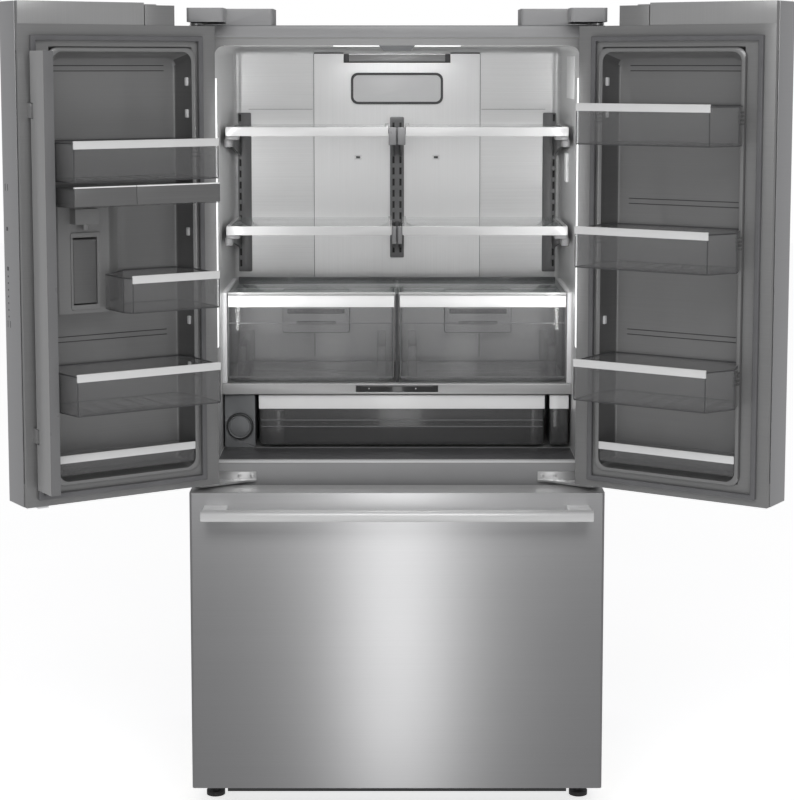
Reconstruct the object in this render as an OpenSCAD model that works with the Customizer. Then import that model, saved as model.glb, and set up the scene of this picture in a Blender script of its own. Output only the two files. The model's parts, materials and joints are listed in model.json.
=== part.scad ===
// French door refrigerator with a bottom freezer drawer, standing with both doors open.
// The cabinet's front face is the plane y = 0 while the pieces are drawn; in_frame()
// then moves everything so that the whole object's box is centred over the origin.

/* [Cabinet] */
// Width of the cabinet and of the freezer drawer
cab_w = 908; // [880:1:930]
// Depth of the cabinet without its doors
cab_d = 610; // [590:1:700]
// Height of the cabinet's top sheet above the floor
cab_top = 1743; // [1740:1:1760]
// Height of the underside of the foamed cabinet
cab_low = 62; // [60:1:66]

/* [Doors] */
// Thickness of a door and of the drawer front
door_t = 97; // [94:1:98]
// Gap between the cabinet face and the doors' inner face
door_gap = 10; // [9:0.5:11]
// Height of the doors' lower edge
door_low = 743; // [742:1:745]
// Height of the raised rail along the doors' top
rail_top = 1787; // [1783:1:1795]
// Angle that the doors stand open
door_open = 147; // [95:1:147]
// Distance of the hinge pin from the door's hinge edge
pin_u = 22; // [21:0.5:23]
// Distance of the hinge pin from the door's outer face
pin_w = 52; // [51:0.5:53]
// How far the door bins reach, measured from the door's outer face
bin_reach = 222; // [200:1:226]

/* [Freezer] */
// Height of the drawer front's top edge
drawer_top = 728; // [720:1:728]
// Height of the handle's bar
handle_z = 691; // [660:1:695]
// Radius of the handle bars
bar_r = 13; // [10:0.5:15]
// Distance from a front face to the middle of its handle bar
bar_off = 60; // [50:1:70]

/* [Inside] */
// Half the inner width of the fresh food compartment
in_x = 400; // [398:1:402]
// Floor of the fresh food compartment
floor_z = 780; // [778:1:782]
// Ceiling of the fresh food compartment
ceil_z = 1700; // [1698:1:1702]
// Back wall of the fresh food compartment
back_y = 500; // [490:1:510]
// Where the shelves and drawers begin behind the cabinet face
shelf_y = 135; // [130:1:150]
// Top of the upper pair of shelves
shelf_hi = 1515; // [1480:1:1525]
// Top of the lower pair of shelves
shelf_lo = 1290; // [1260:1:1310]
// Top of the glass over the crisper drawers
cover_z = 1140; // [1130:1:1142]
// Top of the deck between the crispers and the wide drawer
deck_z = 931; // [926:1:932]

/* [Hidden] */
$fn = 48;
hx = cab_w / 2;                    // half the width
front = -(door_t + door_gap);      // outer face of the doors and the drawer
door_w = hx - 2;                   // width of one door
in_top = 1740;                     // top of a door's foamed body
sheet = 1.5;                       // steel sheet
wall = 3;                          // moulded plastic walls
seal_out = door_t + door_gap - 0.4; // how far a gasket stands out
mid_low = 700;                     // lower edge of the rail between the compartments
mid_high = 771;                    // upper edge of that rail
top_low = 1716;                    // lower edge of the cabinet's top rail
fz_low = 120;                      // floor of the freezer compartment
fz_back = 500;                     // back of the freezer compartment
fz_step = 440;                     // its back below the step over the compressor
step_z = 320;                      // height of that step
pin_r = 6;                         // hinge pins
pin_fit = 0.06;                    // radial clearance round a pin
pocket_u = 92;                     // hinge pocket in a door's top rail
bar_u = 404;                       // a door handle's distance from the hinge edge
bin_l = 60;                        // hinge-side end of the door bins
end_l = 388;                       // free end of the left bins' front
end_r = 364;                       // free end of the right bins' front
fold_u = 424;                      // fold axis of the flip mullion
fold_w = 116;
hump_low = 1142;                   // dispenser housing
hump_high = 1366;
lip = 3;                           // how far the dairy flaps stand past the bins
face_t = 2;                        // sheet of the cabinet's front face
slot_pitch = 27.4;                 // spacing of the slots in the shelf ladders
shelf_rows = [[shelf_hi, 20], [shelf_lo, 12]]; // height and middle gap of each pair
bead_z = [1644, 1655, 1360, 1371, 1076, 1087]; // beads on the door's inner panel
knuckle_z = [880, 1550];           // hinge knuckles of the flip mullion
knuckle_h = 30;
filter_at = [-361, 831];           // middle of the water filter's cap
foot_x = 414;                      // levelling feet
fan_at = [0, 540, 625];            // middle of the evaporator fan
paddle_top = 1296;                 // top of the dispenser paddle
gland_at = [-400, 120];            // where the mains lead would leave
screw_h = 2;                       // height of the screw heads on the rear
// most forward point of the open left door's flaps, and the shift that centres the box
flap_reach = bin_reach + lip - pin_w;
reach_y = front + pin_w - (end_l - pin_u) * sin(door_open) + flap_reach * cos(door_open);
frame_shift = -(cab_d + screw_h + reach_y) / 2;

module in_frame() { translate([0, frame_shift, 0]) children(); }

module both() {
    children();
    mirror([1, 0, 0]) children();
}

// a box from its lowest to its highest corner
module span(a, b) { translate(a) cube(b - a); }

// a rectangle from its lowest to its highest corner with round corners
module round_rect(a, b, r) {
    translate([a[0] + r, a[1]]) square([b[0] - a[0] - 2 * r, b[1] - a[1]]);
    translate([a[0], a[1] + r]) square([b[0] - a[0], b[1] - a[1] - 2 * r]);
    for (x = [a[0] + r, b[0] - r], y = [a[1] + r, b[1] - r]) translate([x, y]) circle(r);
}

// a plate upright across the cabinet: x and z rounded, standing from y0 to y1
module upright(a, b, r, y0, y1) {
    translate([0, y1, 0]) rotate([90, 0, 0]) linear_extrude(y1 - y0) round_rect(a, b, r);
}

// an upright frame with a rectangular window
module upright_ring(a, b, width, y0, y1) {
    translate([0, y1, 0]) rotate([90, 0, 0]) linear_extrude(y1 - y0) difference() {
        translate(a) square(b - a);
        translate(a + [width, width]) square(b - a - [2 * width, 2 * width]);
    }
}

// an outline in depth and height, drawn along x from x0 to x1
module across(x0, x1, outline) {
    translate([x0, 0, 0]) rotate([90, 0, 90]) linear_extrude(x1 - x0) polygon(outline);
}

// a rod or disc from p along y
module rod_y(p, r, length) { translate(p) rotate([-90, 0, 0]) cylinder(h = length, r = r); }

// a rod or disc from p along x
module rod_x(p, r, length) { translate(p) rotate([0, 90, 0]) cylinder(h = length, r = r); }

// an open-topped tub from an outline in plan
module tub(outline, inner, z0, z1, floor_t) {
    difference() {
        translate([0, 0, z0]) linear_extrude(z1 - z0) polygon(outline);
        translate([0, 0, z0 + floor_t]) linear_extrude(z1 - z0) polygon(inner);
    }
}

// ---- cabinet ----

module cabinet_wrap() {
    color("slategray") difference() {
        span([-hx, 0, cab_low], [hx, cab_d - 2, cab_top]);
        span([-hx + sheet, -1, cab_low - 1], [hx - sheet, cab_d, cab_top - sheet]);
    }
}

module rear_panel() {
    color("gainsboro") difference() {
        span([-hx, cab_d - 2, 302], [hx, cab_d, cab_top]);
        for (z = [420, 900, 1380]) span([-300, cab_d - 1, z], [300, cab_d + 1, z + 6]);
    }
}

module base_frame() {
    ear_x = 432;
    color("dimgray") difference() {
        union() {
            span([-hx + 4, 6, 42], [hx - 4, 600, 44]);
            both() span([hx - 24, 6, 44], [hx - 20, 600, cab_low - 0.5]);
            both() span([ear_x, 540, 12], [ear_x + 4, 580, 42]);
            span([-hx + 24, 6, 44], [hx - 24, 10, cab_low - 0.5]);
        }
        rod_x([-ear_x - 10, 560, 25], 5 + pin_fit, 2 * ear_x + 20);
        // slots that the rear rollers reach up into
        both() span([395, 532, 41], [427, 588, 45]);
    }
}

module front_frame() {
    color("lightgray") difference() {
        span([-hx + sheet, 0, cab_low], [hx - sheet, face_t, cab_top - sheet]);
        span([-in_x - wall, -1, mid_high], [in_x + wall, 30, top_low]);
        span([-in_x - wall, -1, fz_low - wall], [in_x + wall, 30, mid_low + wall]);
    }
}

module insulation_foam() {
    color("khaki") difference() {
        span([-hx + sheet, face_t, cab_low], [hx - sheet, cab_d - 2, cab_top - sheet]);
        span([-in_x - wall, 0, floor_z - wall], [in_x + wall, back_y + wall, ceil_z + wall]);
        span([-in_x - wall, 0, mid_high], [in_x + wall, 22, top_low]);
        span([-in_x - wall, 0, fz_low - wall], [in_x + wall, fz_step + wall, mid_low + wall]);
        span([-in_x - wall, 0, step_z - wall], [in_x + wall, fz_back + wall, mid_low + wall]);
        span([-hx, fz_step + wall, 0], [hx, cab_d + 1, 300]);
        span([-330, fz_back, 350], [330, 578, 690]);
    }
}

module fridge_liner() {
    corner = 10;
    color("whitesmoke") difference() {
        union() {
            span([-in_x - wall, 0, floor_z - wall], [in_x + wall, back_y + wall, ceil_z + wall]);
            span([-in_x - wall, 0, mid_high], [in_x + wall, 22, floor_z]);
            span([-in_x - wall, 0, ceil_z], [in_x + wall, 22, top_low - 0.6]);
        }
        translate([0, 0, floor_z]) linear_extrude(ceil_z - floor_z) {
            round_rect([-in_x, -40], [in_x, back_y], corner);
        }
        both() span([206, back_y - 1, 1549], [in_x - 20, back_y + 1, 1551]);
    }
}

module freezer_liner() {
    x = in_x;
    color("whitesmoke") difference() {
        union() {
            span([-x - wall, 0, fz_low - wall], [x + wall, fz_step + wall, mid_low + wall]);
            span([-x - wall, 0, step_z - wall], [x + wall, fz_back + wall, mid_low + wall]);
        }
        span([-x, -1, fz_low], [x, fz_step, mid_low]);
        span([-x, -1, step_z], [x, fz_back, mid_low]);
        for (i = [-4:4]) span([i * 60 - 20, fz_back - 1, 655], [i * 60 + 20, fz_back + 4, 665]);
    }
}

module duct_cover() {
    thick = 5;
    color("gainsboro") difference() {
        upright([-202, deck_z + 10], [202, 1684], 4, back_y - thick, back_y);
        upright([-130, 1662], [130, 1682], 6, back_y - thick - 1, back_y - 2);
        both() for (z = [1427, 1434]) span([86, back_y - thick - 1, z], [104, back_y + 1, z + 4]);
    }
}

module air_filter_cover() {
    color("white") difference() {
        upright([-112, 1562], [112, 1638], 17, back_y - 15, back_y - 5);
        difference() {
            upright([-107, 1567], [107, 1633], 13, back_y - 16, back_y - 13);
            upright([-104, 1570], [104, 1630], 11, back_y - 17, back_y - 12);
        }
    }
}

module light_lenses() {
    color("white") {
        translate([0, 0, ceil_z - 6]) linear_extrude(6) round_rect([-141, 58], [141, 96], 10);
        both() span([in_x - 2, 18, 1030], [in_x, 40, 1628]);
    }
}

module mullion_guide() {
    low = 1687.5;
    color("gray") difference() {
        translate([0, 46, 0]) rotate([90, 0, 0]) linear_extrude(44) {
            polygon([[-30, low], [30, low], [40, ceil_z], [-40, ceil_z]]);
        }
        translate([-18, 14, low - 1]) cylinder(h = 7, r = 5);
        span([-18, 9, low - 1], [14, 19, low + 6]);
    }
}

module ladder(x, width, z0, z1, slots) {
    count = floor((z1 - z0 - 24) / slot_pitch);
    translate([x, back_y, 0]) rotate([90, 0, 0]) linear_extrude(slots[0]) difference() {
        round_rect([-width / 2, z0], [width / 2, z1], 3);
        for (i = [0:count], s = slots[1]) {
            translate([s - 2.6, z0 + 12 + i * slot_pitch]) square([5.2, 17]);
        }
    }
}

module shelf_ladders() {
    color("darkslategray") {
        both() ladder(-372, 32, 1152, 1541, [6, [-11]]);
        translate([0, -5, 0]) ladder(0, 34, 1187, 1531, [6, [-8.5, 8.5]]);
    }
}

// one pair of half shelves: its glass, its rails and its arms
module shelf_pair(z, gap, piece) {
    rear = shelf_y + 305;
    both() {
        if (piece == "glass") span([gap + 9, shelf_y + 8, z - 4], [379, rear, z]);
        if (piece == "trim") {
            upright([gap, z - 18], [388, z + 2], 3, shelf_y, shelf_y + 8);
            span([gap, shelf_y + 8, z - 14], [gap + 9, rear, z + 2]);
            span([379, shelf_y + 8, z - 14], [388, rear, z + 2]);
        }
    }
}

module shelf_glass() {
    color("aliceblue", 0.4) for (row = shelf_rows) shelf_pair(row[0], row[1], "glass");
}

module shelf_trim() {
    color("white") for (row = shelf_rows) shelf_pair(row[0], row[1], "trim");
}

module shelf_arm(x, z, hook_y) {
    across(x - 2.2, x + 2.2, [[shelf_y + 12, z - 15], [hook_y, z - 15], [hook_y, z - 78],
        [hook_y - 10, z - 78], [shelf_y + 12, z - 30]]);
}

module shelf_brackets() {
    color("darkslategray") for (row = shelf_rows) both() {
        z = row[0];
        shelf_arm(383, z, back_y - 6.2);
        shelf_arm(8.5, z, back_y - 11.2);
        span([6.3, shelf_y + 12, z - 15], [row[1] - 0.5, shelf_y + 32, z - 1]);
    }
}

// ---- drawers inside the fresh food compartment ----

module crisper_cover() {
    color("aliceblue", 0.4) span([-386, shelf_y + 5, cover_z - 4], [386, 446, cover_z]);
}

module crisper_frame() {
    color("lightgray") {
        both() span([389, shelf_y + 5, deck_z], [in_x - 0.5, 446, cover_z]);
        span([-3.5, shelf_y + 20, deck_z], [3.5, 446, cover_z - 4.3]);
        span([-386, 446.3, cover_z - 24], [386, 456, cover_z + 3]);
        // humidity controls on the back wall behind the drawers
        both() upright([116, 1004], [280, 1112], 6, 464, back_y - 5.6);
    }
}

// an open drawer between two widths, with a deeper strip along its front
module drawer(x0, x1, y1, z0, z1, strip_h) {
    y0 = shelf_y + 3;
    t = 2.5;
    difference() {
        union() {
            span([x0, y0, z0], [x1, y1, z1 - 6]);
            upright([x0, z1 - strip_h], [x1, z1], 4, y0, y0 + 12);
        }
        span([x0 + t, y0 + t + 3, z0 + t], [x1 - t, y1 - t, z1 + 1]);
    }
}

module crisper_right() { color("lightcyan", 0.5) drawer(6, 387, 436, deck_z + 3, cover_z - 6, 28); }

module crisper_left() { mirror([1, 0, 0]) crisper_right(); }

module deck() {
    color("white") difference() {
        across(-in_x + 0.5, in_x - 0.5, [[shelf_y - 7, deck_z - 24], [480, deck_z - 24],
            [480, deck_z], [shelf_y - 3, deck_z]]);
        across(-94, 94, [[shelf_y - 20, deck_z - 4], [shelf_y - 20, deck_z - 19],
            [shelf_y - 3, deck_z - 19], [shelf_y - 1, deck_z - 4]]);
    }
}

module control_panel() {
    color("dimgray") across(-93.5, 93.5, [[shelf_y - 5.6, deck_z - 18.5], [shelf_y - 3, deck_z - 18.5],
        [shelf_y - 1.2, deck_z - 4.5], [shelf_y - 3.4, deck_z - 4.5]]);
}

module deli_drawer() {
    color("lightgray", 0.6) {
        drawer(-318, 340, 470, floor_z + 6, deck_z - 27, 33);
    }
}

module side_bin() { color("lightgray", 0.6) drawer(350, 395, 430, floor_z + 6, deck_z - 27, 33); }

module filter_housing() {
    color("gainsboro") difference() {
        upright([-396, floor_z + 1], [-326, deck_z - 26], 5, shelf_y + 5, 410);
        rod_y([filter_at[0], shelf_y + 4, filter_at[1]], 30.3, 12);
    }
}

module filter_cap() {
    color("gray") {
        rod_y([filter_at[0], shelf_y - 3, filter_at[1]], 29.5, 18);
        translate([filter_at[0], shelf_y - 3, filter_at[1]]) span([-22, -7, -4], [22, 0, 4]);
    }
}

// ---- hinges, fasteners, feet and covers ----

module hinge_brackets() {
    px = -hx + pin_u;
    py = front + pin_w;
    color("silver") both() {
        // upper leaf on the cabinet's top, with its pin
        translate([0, 0, cab_top]) linear_extrude(4) union() {
            translate([px, py]) circle(14);
            translate([px - 14, py]) square([28, 60 - py]);
            translate([px - 14, 4]) square([130, 84]);
        }
        translate([px, py, cab_top - 22]) cylinder(h = 22.5, r = pin_r);
        // lower leaf on the middle rail, its arm and its pin
        span([px + 32, -3, 731], [px + 118, 0, 754]);
        translate([0, 0, 731]) linear_extrude(5) union() {
            translate([px, py]) circle(13);
            polygon([[px - 4, py + 12], [px + 10, py - 8], [px + 96, -8], [px + 118, -3],
                [px + 118, -1], [px + 32, -1]]);
        }
        translate([px, py, 735.5]) cylinder(h = 22, r = pin_r);
    }
}

module hinge_covers() {
    x0 = -hx + 3;
    t = 2.5;
    color("gray") both() difference() {
        union() {
            translate([0, 0, cab_top + 6]) linear_extrude(30) round_rect([x0, -82], [x0 + 79, 20], 8);
            translate([0, 0, cab_top + 0.2]) linear_extrude(35.8) {
                round_rect([x0, 0.5], [x0 + 181, 116], 8);
            }
        }
        translate([0, 0, cab_top - 1]) linear_extrude(34.5) {
            round_rect([x0 + t, 3], [x0 + 181 - t, 116 - t], 6);
            round_rect([x0 + t, -82 + t], [x0 + 79 - t, 20 - t], 6);
            translate([x0 + t, -20]) square([79 - 2 * t, 40]);
        }
    }
}

module fasteners() {
    px = -hx + pin_u;
    color("silver") both() {
        for (x = [px + 80, px + 108]) rod_y([x, -5.2, 745], 4.5, 2.2);
        for (x = [px + 10, px + 50, px + 90]) translate([x, 40, cab_top + 4]) cylinder(h = 3, r = 5);
        for (z = [330, 700, 1100, 1500, 1720]) rod_y([hx - 12, cab_d, z], 4, screw_h);
        for (z = [80, 286]) rod_y([hx - 16, cab_d, z], 4, screw_h);
    }
}

module leveling_feet() {
    color("black") both() translate([foot_x, 26, 0]) {
        cylinder(h = 10, r = 21);
        cylinder(h = 42, r = 6);
        translate([0, 0, 10]) cylinder(h = 8, r = 11, $fn = 6);
    }
}

module toe_grille() {
    color("dimgray") difference() {
        span([-385, 2, 14], [385, 5.5, 58]);
        for (i = [-8:8], z = [24, 36, 46]) span([i * 42 - 17, 1, z], [i * 42 + 17, 7, z + 5]);
    }
}

module rear_rollers() {
    color("darkgray") {
        rod_x([-438, 560, 25], 5, 876);
        both() difference() {
            rod_x([398, 560, 25], 25, 26);
            rod_x([420, 560, 25], 18, 5);
        }
    }
}

module machine_cover() {
    color("darkgray") difference() {
        union() {
            span([-hx + 2, cab_d - 2, cab_low - 0.5], [hx - 2, cab_d, 300]);
            // gland where the mains lead leaves
            rod_y([gland_at[0], cab_d - 12, gland_at[1]], 11, 11);
        }
        rod_y([gland_at[0], cab_d - 13, gland_at[1]], 5, 16);
        for (i = [-6:4], z = [110:18:254]) {
            span([i * 50 - 19, cab_d - 4, z], [i * 50 + 19, cab_d + 1, z + 8]);
        }
        span([310, cab_d - 4, 100], [380, cab_d + 1, 170]);
    }
}

module water_inlet() {
    color("goldenrod") {
        span([325, 556, cab_low - 18], [365, 592, 156]);
        rod_y([345, 591, 135], 6, 16);
        translate([345, 574, 156]) cylinder(h = 28, r = 13);
    }
}

module compressor() {
    color("black") {
        translate([-230, 525, 78]) cylinder(h = 120, r = 68);
        translate([-230, 525, 198]) cylinder(h = 18, r1 = 68, r2 = 44);
        translate([-230, 525, 44]) cylinder(h = 6, r = 60);
        for (a = [45:90:315]) translate([-230, 525, 44]) rotate(a) translate([48, 0, 0]) {
            cylinder(h = 36, r = 8);
        }
        span([-160, 500, 110], [-130, 550, 160]);
    }
}

module condenser() {
    color("dimgray") {
        for (x = [-40, 270]) span([x, 470, 46], [x + 3, 575, 236]);
        for (z = [66:28:218], y = [488, 522, 556]) rod_x([-38, y, z], 3.5, 310);
        for (i = [0:14]) span([-20 + i * 19, 476, 52], [-19 + i * 19, 569, 230]);
    }
}

module evaporator() {
    color("silver") {
        for (x = [-290, 287]) span([x, 510, 360], [x + 3, 570, 560]);
        for (z = [380:40:540], y = [525, 555]) rod_x([-288, y, z], 4, 576);
        for (i = [0:27]) span([-270 + i * 20, 514, 366], [-269 + i * 20, 566, 554]);
    }
}

module evaporator_fan() {
    color("black") translate(fan_at) rotate([90, 0, 0]) {
        cylinder(h = 22, r = 16);
        for (a = [0:72:288]) rotate(a) translate([10, -14, 6]) rotate([28, 0, 0]) {
            linear_extrude(2.5) round_rect([0, 0], [38, 26], 8);
        }
    }
}

// ---- freezer drawer ----

module drawer_slides() {
    color("silver") both() {
        span([in_x - 8, 12, 236], [in_x - 0.5, 430, 282]);
        span([in_x - 12, 12, 236], [in_x - 8, 430, 240]);
    }
}

module freezer_front() {
    color("silver") difference() {
        translate([0, 0, cab_low]) linear_extrude(drawer_top - cab_low) {
            round_rect([-hx, front], [hx, front + 40], 6);
            translate([-hx, front + 20]) square([cab_w, door_t - 33]);
        }
        span([-hx + sheet, front + sheet, cab_low - 1], [hx - sheet, 5, drawer_top - sheet]);
    }
}

module freezer_front_liner() {
    y1 = front + door_t;
    x = hx - sheet - 0.2;
    color("lightgray") difference() {
        union() {
            translate([0, 0, cab_low]) linear_extrude(drawer_top - sheet - 0.2 - cab_low) {
                round_rect([-x, front + sheet + 0.2], [x, front + 40], 4.3);
                translate([-x, front + 20]) square([2 * x, y1 - front - 20]);
            }
            // raised panel that keeps the cold in
            span([-385, y1 - 1, fz_low + 14], [385, y1 + 12, mid_low - 14]);
        }
        span([-hx + 5, front + 5, cab_low + wall], [hx - 5, y1 - wall, drawer_top - 6]);
        span([-382, y1 - wall - 1, fz_low + 17], [382, y1 + 9, mid_low - 17]);
    }
}

module freezer_gasket() {
    y1 = front + door_t;
    color("gray") upright_ring([-420, 104], [420, 714], 11, y1, -0.4);
}

// handle bar with its two square posts, along x, standing out towards -y
module bar_handle(half) {
    rod_x([-half, -bar_off, 0], bar_r, 2 * half);
    both() upright([half - 53, -10], [half - 1, 10], 3, -bar_off + 4, 0);
}

module freezer_handle() { color("silver") translate([0, front, handle_z]) bar_handle(423); }

module freezer_basket() {
    t = 3;
    y0 = front + door_t + 14;
    color("lightcyan", 0.6) difference() {
        span([-366, y0, 136], [366, 424, 476]);
        span([-366 + t, y0 + t, 136 + t], [366 - t, 424 - t, 480]);
    }
    // carriers that run in the slides
    color("silver") both() {
        span([366, y0 + 2, 244], [388, 424, 252]);
        span([384, y0 - 14 + 12.2, 244], [388, 424, 274]);
    }
}

module freezer_upper_basket() {
    t = 3;
    color("lightcyan", 0.6) difference() {
        union() {
            span([-356, 20, 477.5], [356, 300, 620]);
            span([-372, 20, 477.5], [372, 300, 481]);
        }
        span([-356 + t, 20 + t, 477.5 + t], [356 - t, 300 - t, 630]);
    }
}

// ---- doors, drawn closed: u from the hinge edge, w from the outer face ----

module hang_left() {
    translate([-hx + pin_u, front + pin_w, 0]) rotate(-door_open) translate([-pin_u, -pin_w, 0]) {
        children();
    }
}

module hang_right() { mirror([1, 0, 0]) hang_left() children(); }

module door_plan(inset) {
    r = 8;
    round_rect([inset, inset], [door_w - inset, 60], r - inset);
    translate([inset, 30]) square([door_w - 2 * inset, 54]);
}

module door_skin() {
    difference() {
        translate([0, 0, door_low]) linear_extrude(rail_top - door_low) door_plan(0);
        translate([0, 0, door_low - 1]) linear_extrude(rail_top) {
            door_plan(sheet);
            translate([sheet, 60]) square([door_w - 2 * sheet, 40]);
        }
        span([-1, -1, in_top], [pocket_u, 100, rail_top + 1]);
    }
}

// the moulded recess, or the outside of its walls with grow = wall
module recess(grow) {
    back = 45 - grow;
    intersection() {
        translate([0, 0, 700]) linear_extrude(1100) polygon([[57 - grow, 99], [71 - grow, back],
            [364 + grow, back], [385 + grow, 99]]);
        across(0, 500, [[99, 785 - grow], [back, 800 - grow], [back, 1675 + grow], [99, 1696 + grow]]);
    }
}

// plan of the inner shell, with the skin's round front corners
module liner_plan() {
    s = sheet + 0.2;
    round_rect([s, s], [door_w - s, 60], 8 - s);
    translate([s, 30]) square([door_w - 2 * s, door_t - 30]);
}

module door_liner() {
    s = sheet + 0.2;
    difference() {
        union() {
            difference() {
                translate([0, 0, door_low]) linear_extrude(in_top - door_low) liner_plan();
                difference() {
                    span([s + wall, 0, door_low + wall], [door_w - s - wall, door_t - wall, in_top - wall]);
                    recess(wall);
                    span([pin_u - 14, pin_w - 14, 0], [pin_u + 14, pin_w + 14, door_low + 32]);
                    span([pin_u - 14, pin_w - 14, in_top - 32], [pin_u + 14, pin_w + 14, in_top]);
                }
            }
            // raised rail along the top and the block beside the hinge
            difference() {
                intersection() {
                    translate([0, 0, in_top - 1]) linear_extrude(rail_top - in_top + 1) liner_plan();
                    span([168, 0, in_top - 1], [door_w, door_t + 1, rail_top]);
                }
                span([171, s + wall, in_top - 1], [door_w - s - wall, door_t - wall, rail_top - wall]);
            }
            span([pocket_u + 4, s, in_top], [165, door_t - 2, rail_top - 5]);
        }
        recess(0);
        span([49, 62, 850], [62, 99, 1655]);
        translate([pin_u, pin_w, in_top - 24]) cylinder(h = 30, r = pin_r + pin_fit);
        translate([pin_u, pin_w, door_low - 5]) cylinder(h = 28, r = pin_r + pin_fit);
    }
    // beads on the back of the recess
    for (z = bead_z) span([100, 44, z], [354, 46, z + 3]);
}

module door_gasket() {
    translate([0, door_t, 0]) rotate([90, 0, 0]) translate([0, 0, -(seal_out - door_t)]) {
        linear_extrude(seal_out - door_t) difference() {
            translate([34, 758]) square([392, 960]);
            translate([45, 769]) square([370, 938]);
        }
    }
}

module door_handle() {
    half = 435;
    translate([bar_u, 0, 1225]) {
        translate([0, -bar_off, -half]) cylinder(h = 2 * half, r = bar_r);
        for (z = [-half + 1, half - 53]) translate([0, 0, z]) linear_extrude(52) {
            round_rect([-10, -bar_off + 4], [10, 0], 3);
        }
    }
}

// plan of a full-width door bin; t moves the outline inwards
function bin_plan(last, t) = [[74 + t, 50 + t], [bin_l + t, 98], [bin_l + t, bin_reach - t],
    [last - t, bin_reach - t], [398 - 0.9 * t, 150], [381 - t, 98], [361 - t, 50 + t]];

module door_bin(last, z0, z1) {
    strip_h = 17;
    tub(bin_plan(last, 0), bin_plan(last, 2.5), z0, z1 - 4, 3);
    translate([0, bin_reach, 0]) rotate([90, 0, 0]) linear_extrude(5) {
        round_rect([bin_l, z1 - strip_h], [last, z1], 2);
    }
}

module door_tray() {
    outer = [[74, 50], [62, 94], [62, 104], [378, 104], [378, 94], [361, 50]];
    inner = [[77, 53], [65, 94], [65, 101], [375, 101], [375, 94], [358, 53]];
    tub(outer, inner, 801, 843, 3);
    translate([0, 105, 0]) rotate([90, 0, 0]) linear_extrude(3) round_rect([62, 829], [378, 846], 1.4);
}

// the short bin beside the dispenser housing
function short_plan(t) = [[74 + t, 50 + t], [bin_l + t, 98], [bin_l + t, bin_reach - t],
    [262 - t, bin_reach - t], [274 - t, 200], [274 - t, 112 + t], [250 - t, 101 + t], [205 - t, 50 + t]];

module short_bin(z0, z1) {
    tub(short_plan(0), short_plan(2.5), z0, z1 - 4, 3);
    translate([0, bin_reach, 0]) rotate([90, 0, 0]) linear_extrude(5) {
        round_rect([bin_l, z1 - 17], [262, z1], 2);
    }
}

module left_door_skin() { color("silver") hang_left() door_skin(); }
module right_door_skin() { color("silver") hang_right() door_skin(); }
// the left inner shell also carries the knuckles that the flip mullion turns on
module left_door_liner() {
    color("gray") hang_left() {
        door_liner();
        for (z = knuckle_z) difference() {
            union() {
                span([fold_u + 3, door_t - 1, z], [fold_u + 9, fold_w, z + knuckle_h]);
                translate([fold_u, fold_w, z]) cylinder(h = knuckle_h, r = 6);
            }
            translate([fold_u, fold_w, z - 1]) cylinder(h = knuckle_h + 2, r = 2 + pin_fit);
        }
    }
}
module right_door_liner() { color("gray") hang_right() door_liner(); }
module left_door_gasket() { color("dimgray") hang_left() door_gasket(); }
module right_door_gasket() { color("dimgray") hang_right() door_gasket(); }
module left_door_handle() { color("silver") hang_left() door_handle(); }
module right_door_handle() { color("silver") hang_right() door_handle(); }

module left_door_bins() {
    color("lightgray", 0.6) hang_left() {
        door_bin(end_l, 1421, 1506);
        short_bin(1149, 1228);
        door_bin(end_l, 946, 1034);
        door_tray();
    }
}

module right_door_bins() {
    color("lightgray", 0.6) hang_right() {
        door_bin(end_r, 1492, 1579);
        door_bin(end_r, 1234, 1322);
        door_bin(end_r, 952, 1041);
        door_tray();
    }
}

// ---- pieces that only the left door has ----

module flip_mullion() {
    low = 782;
    high = 1686;
    end_r = 8.5;                   // its round hinge edge
    near = fold_u + end_r;
    color("gray") hang_left() {
        difference() {
            translate([0, 0, low]) linear_extrude(high - low) difference() {
                union() {
                    translate([near - 22, fold_w]) square([22, 66]);
                    translate([near - 22, fold_w - 6]) square([fold_u - near + 22, 12]);
                    translate([fold_u, fold_w]) circle(end_r);
                }
                translate([near - 16, fold_w + 14]) square([10, 42]);
            }
            // notches that clear the knuckles in every position
            for (z = knuckle_z) {
                span([near - 23, fold_w - 10, z - 1], [near + 1, fold_w + 10.5, z + knuckle_h + 1]);
            }
        }
        for (z = knuckle_z) translate([fold_u, fold_w, z - 6]) cylinder(h = knuckle_h + 12, r = 2);
    }
}

// covered bin: a shallow box with a fixed top and an open front
module dairy_box() {
    z0 = 1371;
    z1 = 1409;
    color("lightgray", 0.6) hang_left() difference() {
        translate([0, 0, z0]) linear_extrude(z1 - z0) polygon(bin_plan(end_l, 0));
        translate([0, 0, z0 + 3]) linear_extrude(z1 - z0 - 6) polygon(bin_plan(end_l, 2.5));
        for (u = [[bin_l + 4, 248], [254, end_l - 4]]) {
            span([u[0], bin_reach - 10, z0 + 8], [u[1], bin_reach + 1, z1 - 3]);
        }
    }
}

// a flap over one stretch of the covered bin's front, hinged along its lower edge
module dairy_flap(u0, u1) {
    half = (lip - 0.5) / 2;
    low = 1375;
    span([u0, bin_reach + 0.5, low], [u1, bin_reach + lip, 1411]);
    rod_x([u0, bin_reach + 0.5 + half, low], half, u1 - u0);
}

module dairy_flap_wide() { color("whitesmoke") hang_left() dairy_flap(bin_l, 250.5); }
module dairy_flap_narrow() { color("whitesmoke") hang_left() dairy_flap(251.5, end_l); }

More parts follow.
